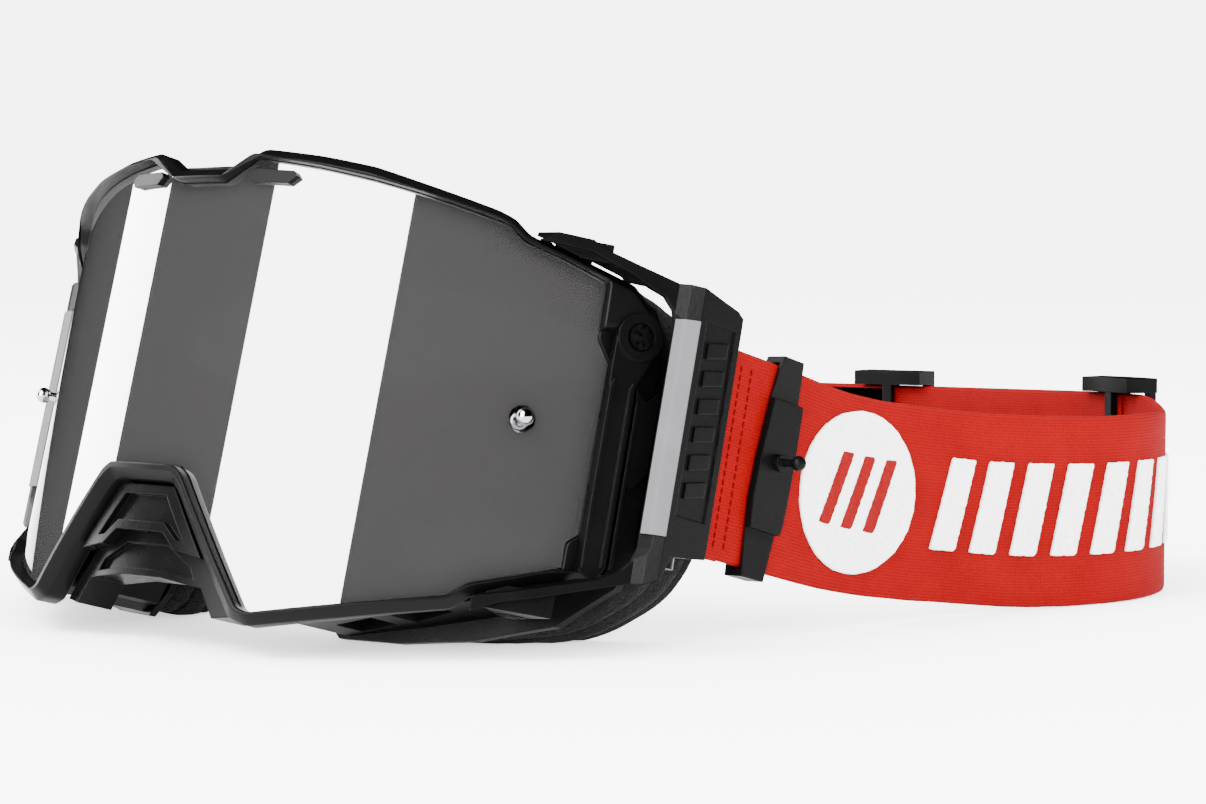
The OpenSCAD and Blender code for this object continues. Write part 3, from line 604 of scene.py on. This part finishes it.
def strap_line(end_x, step=1.5):
    """Bottom and top edge points of the right half's outer face, in row-frame mm. The plan is
    the running sum of the heading, then a circular arc that touches the rear line and the far
    side line, then the straight rear; the lean of the edges fades with a smooth step."""
    s = np.arange(0, 100, step)
    h = np.radians(np.interp(s, *HEADING))
    x = SP[0] + np.concatenate([[0], np.cumsum(np.sin(h[:-1]) * step)])
    y = 63.95 + np.concatenate([[0], np.cumsum(np.cos(h[:-1]) * step)])
    e = math.radians(HEADING[1][-1])
    se, ce, d = math.sin(e), math.cos(e), (0.9016, 0.4324)
    m = np.array([[ce, 1 + se], [se * d[0] + ce * d[1], 1 - ce * d[0] + se * d[1]]])
    run, rad = np.linalg.solve(m, [REAR_Y - y[-1], 216.57 - x[-1] * d[0] - y[-1] * d[1]])
    k = np.arange(step, run, step)
    cx, cy = x[-1] + run * se - rad * ce, y[-1] + run * ce + rad * se
    ang = np.arange(-e, math.pi / 2, step / rad)
    xs = np.append(np.arange(cx - 0.5, end_x, -step), end_x)
    before = np.array([-3.4, -1.7])
    px = np.concatenate([SP[0] + 0 * before, x, x[-1] + k * se, cx + rad * np.cos(ang), xs])
    py = np.concatenate([63.95 + before, y, y[-1] + k * ce, cy + rad * np.sin(ang), REAR_Y + 0 * xs])
    run_s = np.concatenate([before, s, s[-1] + k, s[-1] + run + 0 * ang, s[-1] + run + 0 * xs])
    t = np.clip((run_s - 35) / 75, 0, 1)
    tilt = wide() / 2 * math.sin(LEAN) * (1 - t * t * (3 - 2 * t))
    n = len(before) + len(s) + len(k)
    rise = np.concatenate([np.zeros(n), np.clip((ang - 0.5) / 0.45, 0, 1), 1 + 0 * xs])
    rise = REAR_Z * rise * rise * (3 - 2 * rise)
    low, top = np.interp(py - tilt, *LOW_EDGE) + rise, np.interp(py + tilt, *TOP_EDGE) + rise
    lo = np.stack([px, py - tilt - SET_BACK, low], 1)
    hi = np.stack([px, py + tilt - SET_BACK, top], 1)
    return lo, hi


def band_section(width, thick, n=12):
    """Rounded flat section: across v in -w/2..w/2 and depth 0..-thick, as v and d arrays."""
    v = np.linspace(-0.5, 0.5, n) * (width - thick)
    a = np.linspace(-math.pi / 2, math.pi / 2, 5)[1:-1]
    r = thick / 2
    top = np.stack([v, 0 * v], 1)
    end1 = np.stack([(width - thick) / 2 + r * np.cos(a[::-1]), -r + r * np.sin(a[::-1])], 1)
    bot = np.stack([v[::-1], 0 * v - thick], 1)
    end2 = np.stack([-(width - thick) / 2 - r * np.cos(a), -r + r * np.sin(a)], 1)
    return np.concatenate([top, end1, bot, end2])


def along(lo, hi):
    """Running length, and outward unit normals, of a band given by its two edges."""
    mid = (lo + hi) / 2
    u = np.concatenate([[0], np.cumsum(np.linalg.norm(np.diff(mid, axis=0), axis=1))])
    tang = np.gradient(mid, axis=0)
    up = hi - lo
    nrm = np.cross(tang, up)
    nrm /= np.linalg.norm(nrm, axis=1)[:, None]
    return u, nrm


def band(name, lo, hi, thick, material):
    """A flat band between two edge lines, its section carried along the outward normals."""
    u, nrm = along(lo, hi)
    if (nrm[len(nrm) // 3] @ np.array([1, 0, 0])) * np.sign(lo[len(lo) // 3, 0]) < 0:
        nrm = -nrm
    sec = band_section(wide(), thick)
    f = sec[:, 0] / wide() + 0.5
    P = lo[:, None] * (1 - f)[None, :, None] + hi[:, None] * f[None, :, None]
    P = P + nrm[:, None] * sec[:, 1][None, :, None]
    uv = np.stack([np.repeat(u[:, None], len(sec), 1), np.repeat(sec[None, :, 0], len(u), 0)], -1) / 1000
    ob = grid_mesh(name, P / 1000, wrap_u=False, wrap_v=True, caps=True, uv=uv, sharp=60)
    ob.data.materials.clear()
    ob.data.materials.append(material)
    return ob


def plan_band(plan, z0, z1):
    """The two edges of a band of constant height along a plan line in the eyepiece frame."""
    z = np.zeros(len(plan))
    a = np.stack([plan[:, 0], plan[:, 1], z + z0], 1)
    b = np.stack([plan[:, 0], plan[:, 1], z + z1], 1)
    return eyepiece(a) * 1000, eyepiece(b) * 1000


def mirrored(p, s):
    return p * np.array([s, 1, 1])


class GOGGLES_OT_strap(bpy.types.Operator):
    """Woven strap: a loop round each strap pin, two sides, the bends and the rear"""
    bl_idname = "goggles.strap"
    bl_label = "Strap"

    def execute(self, context):
        cloth = woven("elastic_webbing", tuple(context.scene.goggle_colours.webbing))
        th = context.scene.goggle_strap.thick * 1000
        root = "eyepiece_and_rear_strap"
        for side, s in (("left", -1), ("right", 1)):
            lo, hi = strap_line(SPLIT_X if s > 0 else -SPLIT_X)
            lo, hi = mirrored(lo, s), mirrored(hi, s)
            if s < 0:
                # the left half runs on over the middle to meet the right half
                x = np.arange(-SPLIT_X + 1.5, SPLIT_X - 0.2, 1.5)
                more = np.stack([x, REAR_Y - SET_BACK + 0 * x, REAR_Z + 0 * x], 1)
                lo, hi = np.concatenate([lo, more]), np.concatenate([hi, more + [0, 0, wide()]])
            ob = band(f"strap_webbing_{side}", lo, hi, th, cloth)
            nodes = [f"strap_side_{side}", f"strap_bend_{side}"] + (["strap_rear"] if s < 0 else [])
            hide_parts(*nodes)
            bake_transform(ob)
            # the loop round the pin and the inner layer
            a = np.linspace(0, math.pi, 19)
            loop = np.stack([99.3 + 2.7 * np.cos(a), 62.2 - 2.7 * np.sin(a)], 1)
            t = np.linspace(0, 1, 10)[1:, None]
            inner = loop[-1] * (1 - t) + np.array([SP[0] + 0.9 - 1.55 * th, SP[1] + 7.8]) * t
            start = np.array([[102.02, 67.5], [102.02, 65.0]])
            plan = np.concatenate([start, loop, inner])
            lo, hi = plan_band(plan, LOOP_Z0 + 0.1, LOOP_Z0 + wide() - 0.1)
            lo, hi = mirrored(lo, s), mirrored(hi, s)
            u, nrm = along(lo, hi)
            sec = band_section(wide() - 0.2, th - 0.1)
            f = sec[:, 0] / (wide() - 0.2) + 0.5
            P = lo[:, None] * (1 - f)[None, :, None] + hi[:, None] * f[None, :, None]
            P = P + nrm[:, None] * (sec[:, 1] + (th - 0.1) / 2)[None, :, None]
            uv = np.stack([np.repeat(u[:, None], len(sec), 1),
                           np.repeat(sec[None, :, 0], len(u), 0)], -1) / 1000
            ob = grid_mesh(f"strap_loop_{side}", P / 1000, False, True, True, uv, 60)
            finish_piece(ob, f"outrigger_arm_{side}", cloth)
        # second layer folded back at the rear
        ang = np.arange(math.radians(63), math.pi / 2, 1.5 / BEND_R)
        r = BEND_R - th - 0.05
        x = np.arange(BEND_X - 0.5, SPLIT_X, -1.5)
        px = np.concatenate([BEND_X + r * np.cos(ang), x])
        py = np.concatenate([BEND_Y + r * np.sin(ang), REAR_Y - th - 0.05 + 0 * x])
        lo = np.stack([px, py - SET_BACK, REAR_Z + 0 * px], 1)
        ob = band("strap_folded_layer", lo, lo + [0, 0, wide()], th - 0.1, cloth)
        finish_piece(ob, root, cloth, ["strap_fold"])
        self.stitches(context)
        return {"FINISHED"}

    def stitches(self, context):
        """Two columns of short thread capsules across the doubled end of each side."""
        thread = woven("stitch_thread", (0.1, 0.0, 0.0006))
        k = np.linspace(0, 1, 21)
        for side, s in (("left", -1), ("right", 1)):
            allv, allf = [], []
            ring = np.linspace(0, 2 * math.pi, 7)[:-1]
            t = np.linspace(-1, 1, 5)
            rad = np.sqrt(np.clip(1 - t ** 2, 0.02, 1)) * 0.28
            for col in range(2):
                z = LOOP_Z0 + 3.4 + k * 39.5
                cx = SP[0] + math.sin(SPLAY) * (2.9 + col * 3.5)
                cy = SP[1] + math.cos(SPLAY) * (2.9 + col * 3.5)
                X = cx + 0.02 + np.cos(ring)[None, None, :] * rad[None, :, None] + 0 * z[:, None, None]
                Y = cy + np.sin(ring)[None, None, :] * rad[None, :, None] + 0 * z[:, None, None]
                Z = z[:, None, None] + t[None, :, None] * 0.75 + 0 * ring[None, None, :]
                P = np.stack([X, Y, Z], -1)
                allv.append(P)
            P = np.concatenate(allv)
            n, m, q = P.shape[:3]
            i = np.arange(n)[:, None, None] * m * q + np.arange(m - 1)[None, :, None] * q
            j = np.arange(q)[None, None, :]
            f = np.stack([i + j, i + (j + 1) % q, i + q + (j + 1) % q, i + q + j], -1).reshape(-1, 4)
            v = mirrored(eyepiece(P.reshape(-1, 3)), s)
            if s < 0:
                f = f[:, ::-1]
            me = bpy.data.meshes.new(f"end_stitches_{side}")
            lids = [list(range(b + (m - 1) * q, b + m * q)) if e else list(range(b, b + q))[::-1]
                    for b in range(0, n * m * q, m * q) for e in (0, 1)]
            if s < 0:
                lids = [x[::-1] for x in lids]
            me.from_pydata(v, [], f.tolist() + lids)
            me.shade_smooth()
            me.uv_layers.new(name="along")
            ob = bpy.data.objects.new(me.name, me)
            context.scene.collection.objects.link(ob)
            finish_piece(ob, f"outrigger_arm_{side}", thread, [f"end_stitch_{side}"])


def strap_surface(s):
    """Point on the strap's outer face at running length u and height v, raised by h."""
    lo, hi = strap_line(SPLIT_X)
    u0, nrm = along(lo, hi)
    if nrm[10, 0] < 0:
        nrm = -nrm

    def at(u, v, h):
        u = np.asarray(u, float)
        f = (v / wide() + 0.5)[..., None]
        L = np.stack([np.interp(u, u0, lo[:, i]) for i in range(3)], -1)
        H = np.stack([np.interp(u, u0, hi[:, i]) for i in range(3)], -1)
        N = np.stack([np.interp(u, u0, nrm[:, i]) for i in range(3)], -1)
        N /= np.linalg.norm(N, axis=-1)[..., None]
        P = L * (1 - f) + H * f + N * np.asarray(h)[..., None]
        return mirrored(P, s)
    return at


def raised_patch(at, boundary, centre, height, rough_edge=0.12, rings=14):
    """A low raised patch: rings shrink from the boundary to the centre, with a rounded shoulder
    and a slight fuzz from summed sines."""
    b = np.asarray(boundary, float)
    k = len(b)
    t = np.concatenate([[1, 1, 0.995], np.linspace(0.98, 0.0, rings)])
    h = np.concatenate([[0.0, 0.45, 0.8], np.ones(rings)])
    fuzz = np.sin(np.arange(k) * 2.3) * 0.5 + np.sin(np.arange(k) * 5.1 + 1) * 0.5
    e = (b - centre) / np.linalg.norm(b - centre, axis=1)[:, None]
    U = centre[0] + (b[None, :, 0] - centre[0]) * t[:, None] + e[None, :, 0] * fuzz * rough_edge * t[:, None]
    V = centre[1] + (b[None, :, 1] - centre[1]) * t[:, None] + e[None, :, 1] * fuzz * rough_edge * t[:, None]
    noise = 0.06 * (np.sin(U * 3.1 + V * 1.7) + np.sin(V * 4.3 - U * 2.9))
    Hh = height * h[:, None] + noise * (h[:, None] > 0.5)
    Hh[0] = -0.3
    P = at(U, V, Hh)
    return P / 1000


def patch_mesh(name, grids, material):
    """Several raised patches joined into one mesh, each closed by a lid below and a pole above."""
    vs, fs, base = [], [], 0
    for P in grids:
        m, q = P.shape[:2]
        i = np.arange(m - 1)[:, None] * q
        j = np.arange(q)[None, :]
        f = np.stack([i + j, i + (j + 1) % q, i + q + (j + 1) % q, i + q + j], -1).reshape(-1, 4)
        if volume(P.reshape(-1, 3) - P.reshape(-1, 3).mean(0), f) < 0:
            f = f[:, ::-1]
            lid = list(range(q))
        else:
            lid = list(range(q))[::-1]
        fs += (f + base).tolist() + [[x + base for x in lid]]
        vs.append(P.reshape(-1, 3))
        base += m * q
    me = bpy.data.meshes.new(name)
    me.from_pydata(np.concatenate(vs), [], fs)
    ob = bpy.data.objects.new(name, me)
    bpy.context.scene.collection.objects.link(ob)
    bm = bmesh.new()
    bm.from_mesh(me)
    bmesh.ops.remove_doubles(bm, verts=bm.verts, dist=1e-6)
    bmesh.ops.recalc_face_normals(bm, faces=bm.faces)
    bm.to_mesh(me)
    bm.free()
    me.shade_smooth()
    ob.data.materials.append(material)
    return ob


def line_points(corners, step=0.7):
    p = np.array(corners, float)
    p = rounded(p, 0.5, 2)
    return dense(p, parts_of(p, step))


class GOGGLES_OT_marks(bpy.types.Operator):
    """Tufted round patch with three bars and a row of slanted bars on each strap side"""
    bl_idname = "goggles.marks"
    bl_label = "Strap marks"

    def execute(self, context):
        white = tufted("white_pile", (0.72, 0.72, 0.72))
        red = tufted("red_pile", (0.12, 0.0, 0.0006))
        pile = context.scene.goggle_strap.pile * 1000
        root = "eyepiece_and_rear_strap"
        for side, s in (("left", -1), ("right", 1)):
            at = strap_surface(s)
            c = np.array([DISC_U, 0.5])
            a = np.linspace(0, 2 * math.pi, 97)[:-1]
            disc = np.stack([c[0] + 19.4 * np.cos(a), c[1] + 19.4 * np.sin(a)], 1)
            grids = [raised_patch(at, disc, c, pile, 0.1, 20)]
            u = DISC_U + 25.5
            for i in range(BARS):
                q = line_points([(u, -10.8), (u + 7.5, -10.8), (u + 13, 11.8), (u + 5.5, 11.8)])
                grids.append(raised_patch(at, q, q.mean(0), pile))
                u += 12.2
            ob = patch_mesh(f"tufted_marks_{side}", grids, white)
            self.hold(ob, side, s, root)
            bars = []
            for d in (-7.5, 0, 7.5):
                q = line_points([(c[0] + d - 4.3, -8.5), (c[0] + d - 0.7, -8.5),
                                 (c[0] + d + 4.3, 9.5), (c[0] + d + 0.7, 9.5)])
                bars.append(raised_patch(at, q, q.mean(0), pile + 0.25))
            ob = patch_mesh(f"patch_bars_{side}", bars, red)
            self.hold(ob, side, s, root)
        return {"FINISHED"}

    def hold(self, ob, side, s, root):
        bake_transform(ob)


DISC_U = 51.3
BARS = 8


class GOGGLES_OT_painted_reflections(bpy.types.Operator):
    """Painted reflection: light grey satin strips on the front edges of the outriggers stand in for the
    softbox reflection on their black chamfers; rows of points along two edge lines
    """
    bl_idname = "goggles.inlays"
    bl_label = "Painted_reflection_strips"

    def execute(self, context):
        # painted reflection: this light grey, far paler than the black shell, stands in for the softbox
        # reflection on the chamfers
        reflection_paint = moulded("painted_reflection_satin", (0.062, 0.062, 0.066), rough=0.4, grain=500.0, depth=0.05)
        plan = np.array([(98.9, 52.15), (101.3, 52.4), (104.2, 54.0)])
        for side, s in (("left", -1), ("right", 1)):
            z = np.linspace(-35, 12.4, 25)
            front = dense(plan, np.array([4, 5, 1]))[:10]
            front = front + np.array([0.18, -0.42])
            back = front + np.array([-0.2, 0.7])
            loop = np.concatenate([front, back[::-1]])
            P = np.stack([loop[None, :, 0] + 0 * z[:, None], loop[None, :, 1] + 0 * z[:, None],
                          z[:, None] + 0 * loop[None, :, 0]], -1)
            ob = grid_mesh(f"front_painted_reflection_{side}", eyepiece(mirrored(P, s)), False, True, True,
                           sharp=30)
            finish_piece(ob, f"outrigger_arm_{side}", reflection_paint)
        return {"FINISHED"}


# ---- hard parts that keep their solids ----
class GOGGLES_OT_hard_parts(bpy.types.Operator):
    """Finishes for the moulded, turned and rubber parts"""
    bl_idname = "goggles.hard_parts"
    bl_label = "Hard parts"

    def execute(self, context):
        shell = shell_material()
        dark = tuple(context.scene.goggle_colours.shell)
        gloss = moulded("gloss_cover", dark, rough=0.26, grain=700.0, depth=0.05, edge=0.0004)
        buckle = moulded("buckle_nylon", tuple(c * 1.1 for c in dark), rough=0.42, grain=1200.0,
                         depth=0.2, edge=0.0004)
        post = metal("polished_post", (0.25, 0.25, 0.26), 0.12)
        pin = metal("dark_steel_pin", (0.008, 0.008, 0.0085), 0.35)
        rubber = moulded("soft_rubber", (0.003, 0.003, 0.003), rough=0.6, grain=900.0, depth=0.3)
        pick = {"lens_seal": rubber, "grip_lines": rubber}
        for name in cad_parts:
            ob = bpy.data.objects.get(name)
            if ob is None or ob.hide_render:
                continue
            m = shell
            if name in pick:
                m = pick[name]
            elif name.startswith(("tear_off", "post_washer")):
                m = post
            elif name.startswith(("hinge_pins", "strap_pin", "lever_pin")):
                m = pin
            elif name.startswith(("strap_keeper", "keeper_post", "tri_glide")):
                m = buckle
            elif name.startswith(("lens_lock", "side_cover", "nose_panel", "outrigger_badge")):
                m = gloss
            ob.data.materials.clear()
            ob.data.materials.append(m)
        return {"FINISHED"}


# ---- stage ----
def emitter(name, centre, u, v, power, colour=(1, 1, 1), diffuse=True):
    """A flat glowing panel spanned by two half-side vectors."""
    c, u, v = (Vector(x) for x in (centre, u, v))
    me = bpy.data.meshes.new(name)
    me.from_pydata([c - u - v, c + u - v, c + u + v, c - u + v], [], [(0, 1, 2, 3)])
    m = bpy.data.materials.new(name)
    m.use_nodes = True
    nt = m.node_tree
    nt.nodes.clear()
    out = nt.nodes.new("ShaderNodeOutputMaterial")
    e = nt.nodes.new("ShaderNodeEmission")
    e.inputs["Color"].default_value = (*colour, 1)
    e.inputs["Strength"].default_value = power
    nt.links.new(e.outputs[0], out.inputs["Surface"])
    me.materials.append(m)
    ob = bpy.data.objects.new(name, me)
    bpy.context.scene.collection.objects.link(ob)
    ob.visible_camera = False
    ob.visible_diffuse = diffuse
    ob.visible_shadow = False
    ob.visible_transmission = False
    return ob


def area(name, at, to, size, power):
    d = bpy.data.lights.new(name, "AREA")
    d.shape = "RECTANGLE"
    d.size, d.size_y = size
    d.energy = power
    ob = bpy.data.objects.new(name, d)
    ob.location = at
    ob.rotation_mode = "QUATERNION"
    ob.rotation_quaternion = (Vector(to) - Vector(at)).to_track_quat("-Z", "Y")
    bpy.context.scene.collection.objects.link(ob)
    return ob


def lens_direction(azimuth, elevation):
    """A direction from the lens: azimuth from straight ahead toward +X, in the leaned frame."""
    a, e = math.radians(azimuth), math.radians(elevation)
    p = np.array([math.sin(a) * math.cos(e), -math.cos(a) * math.cos(e), math.sin(e)])
    c, s = math.cos(LEAN), math.sin(LEAN)
    return Vector((p[0], p[1] * c + p[2] * s, p[2] * c - p[1] * s))


class GOGGLES_OT_stage(bpy.types.Operator):
    """Pale floor, soft lights and the camera"""
    bl_idname = "goggles.stage"
    bl_label = "Stage"

    def execute(self, context):
        sc = context.scene
        cam = bpy.data.cameras.new("camera")
        cam.lens, cam.sensor_width = 76.79, 36.0
        cam.clip_start, cam.clip_end = 0.01, 50
        ob = bpy.data.objects.new("camera", cam)
        sc.collection.objects.link(ob)
        a, e = math.radians(37.99), math.radians(2.85)
        back = Vector((math.sin(a) * math.cos(e), -math.cos(a) * math.cos(e), math.sin(e)))
        ob.location = (0.43066, -0.3971 - SET_BACK / 1000, 0.00779 + LIFT / 1000)
        ob.rotation_mode = "QUATERNION"
        ob.rotation_quaternion = (-back).to_track_quat("-Z", "Y")
        sc.camera = ob
        # floor
        me = bpy.data.meshes.new("floor")
        g = 12.0
        me.from_pydata([(-g, -g, 0), (g, -g, 0), (g, g, 0), (-g, g, 0)], [], [(0, 1, 2, 3)])
        floor = bpy.data.objects.new("floor", me)
        sc.collection.objects.link(floor)
        m = bpy.data.materials.new("pale_floor")
        m.use_nodes = True
        b = m.node_tree.nodes["Principled BSDF"]
        b.inputs["Base Color"].default_value = (0.95, 0.95, 0.95, 1)
        b.inputs["Roughness"].default_value = 0.9
        b.inputs["Emission Color"].default_value = (1, 1, 1, 1)
        b.inputs["Emission Strength"].default_value = 1.0
        me.materials.append(m)
        w = bpy.data.worlds.new("studio")
        sc.world = w
        w.use_nodes = True
        w.node_tree.nodes["Background"].inputs["Color"].default_value = (1, 1, 1, 1)
        w.node_tree.nodes["Background"].inputs["Strength"].default_value = 6.0
        w.cycles_visibility.glossy = False
        area("key", (-0.6, -1.6, 2.2), (0, 0, 0.05), (1.6, 1.2), 170)
        area("side", (2.2, -0.6, 1.2), (0, 0, 0.05), (1.2, 1.2), 80).visible_glossy = False
        lens = Vector((0, -SET_BACK / 1000, 0.08))
        axis = lens_direction(0, 90)
        for nm, a0, a1, power, dist in (("front_softbox", -22.5, 20.3, 42.0, 1.4),
                                        ("left_softbox", -84.0, -63.0, 42.0, 1.4)):
            mid = (a0 + a1) / 2
            c = lens_direction(mid, 0)
            half = math.tan(math.radians((a1 - a0) / 2)) * dist
            across = axis.cross(c).normalized()
            emitter(nm, lens + c * dist + axis * 0.25, across * half, axis * 0.9, power, diffuse=False)
        return {"FINISHED"}


class GOGGLES_PT_panel(bpy.types.Panel):
    """Sidebar panel of the goggles"""
    bl_idname = "GOGGLES_PT_panel"
    bl_label = "Goggles"
    bl_space_type = "VIEW_3D"
    bl_region_type = "UI"
    bl_category = "Goggles"

    def draw(self, context):
        sc = context.scene
        col = self.layout.column()
        for group in (sc.goggle_eyepiece, sc.goggle_strap, sc.goggle_colours):
            for name in group.bl_rna.properties.keys():
                if name not in ("rna_type", "name"):
                    col.prop(group, name)
        for name in STEPS:
            col.operator(name)


STEPS = ["goggles.stage", "goggles.rim", "goggles.lens", "goggles.foam", "goggles.strap",
         "goggles.marks", "goggles.inlays", "goggles.hard_parts"]
CLASSES = [EyepieceSizes, StrapSizes, GoggleColours, GOGGLES_OT_rim, GOGGLES_OT_lens,
           GOGGLES_OT_foam, GOGGLES_OT_strap, GOGGLES_OT_marks, GOGGLES_OT_painted_reflections, GOGGLES_OT_hard_parts,
           GOGGLES_OT_stage, GOGGLES_PT_panel]


def register():
    for c in CLASSES:
        bpy.utils.register_class(c)
    bpy.types.Scene.goggle_eyepiece = bpy.props.PointerProperty(type=EyepieceSizes)
    bpy.types.Scene.goggle_strap = bpy.props.PointerProperty(type=StrapSizes)
    bpy.types.Scene.goggle_colours = bpy.props.PointerProperty(type=GoggleColours)


def unregister():
    del bpy.types.Scene.goggle_eyepiece
    del bpy.types.Scene.goggle_strap
    del bpy.types.Scene.goggle_colours
    for c in reversed(CLASSES):
        bpy.utils.unregister_class(c)


def main():
    register()
    for name in STEPS:
        group, op = name.split(".")
        getattr(getattr(bpy.ops, group), op)()


if __name__ == "__main__":
    main()
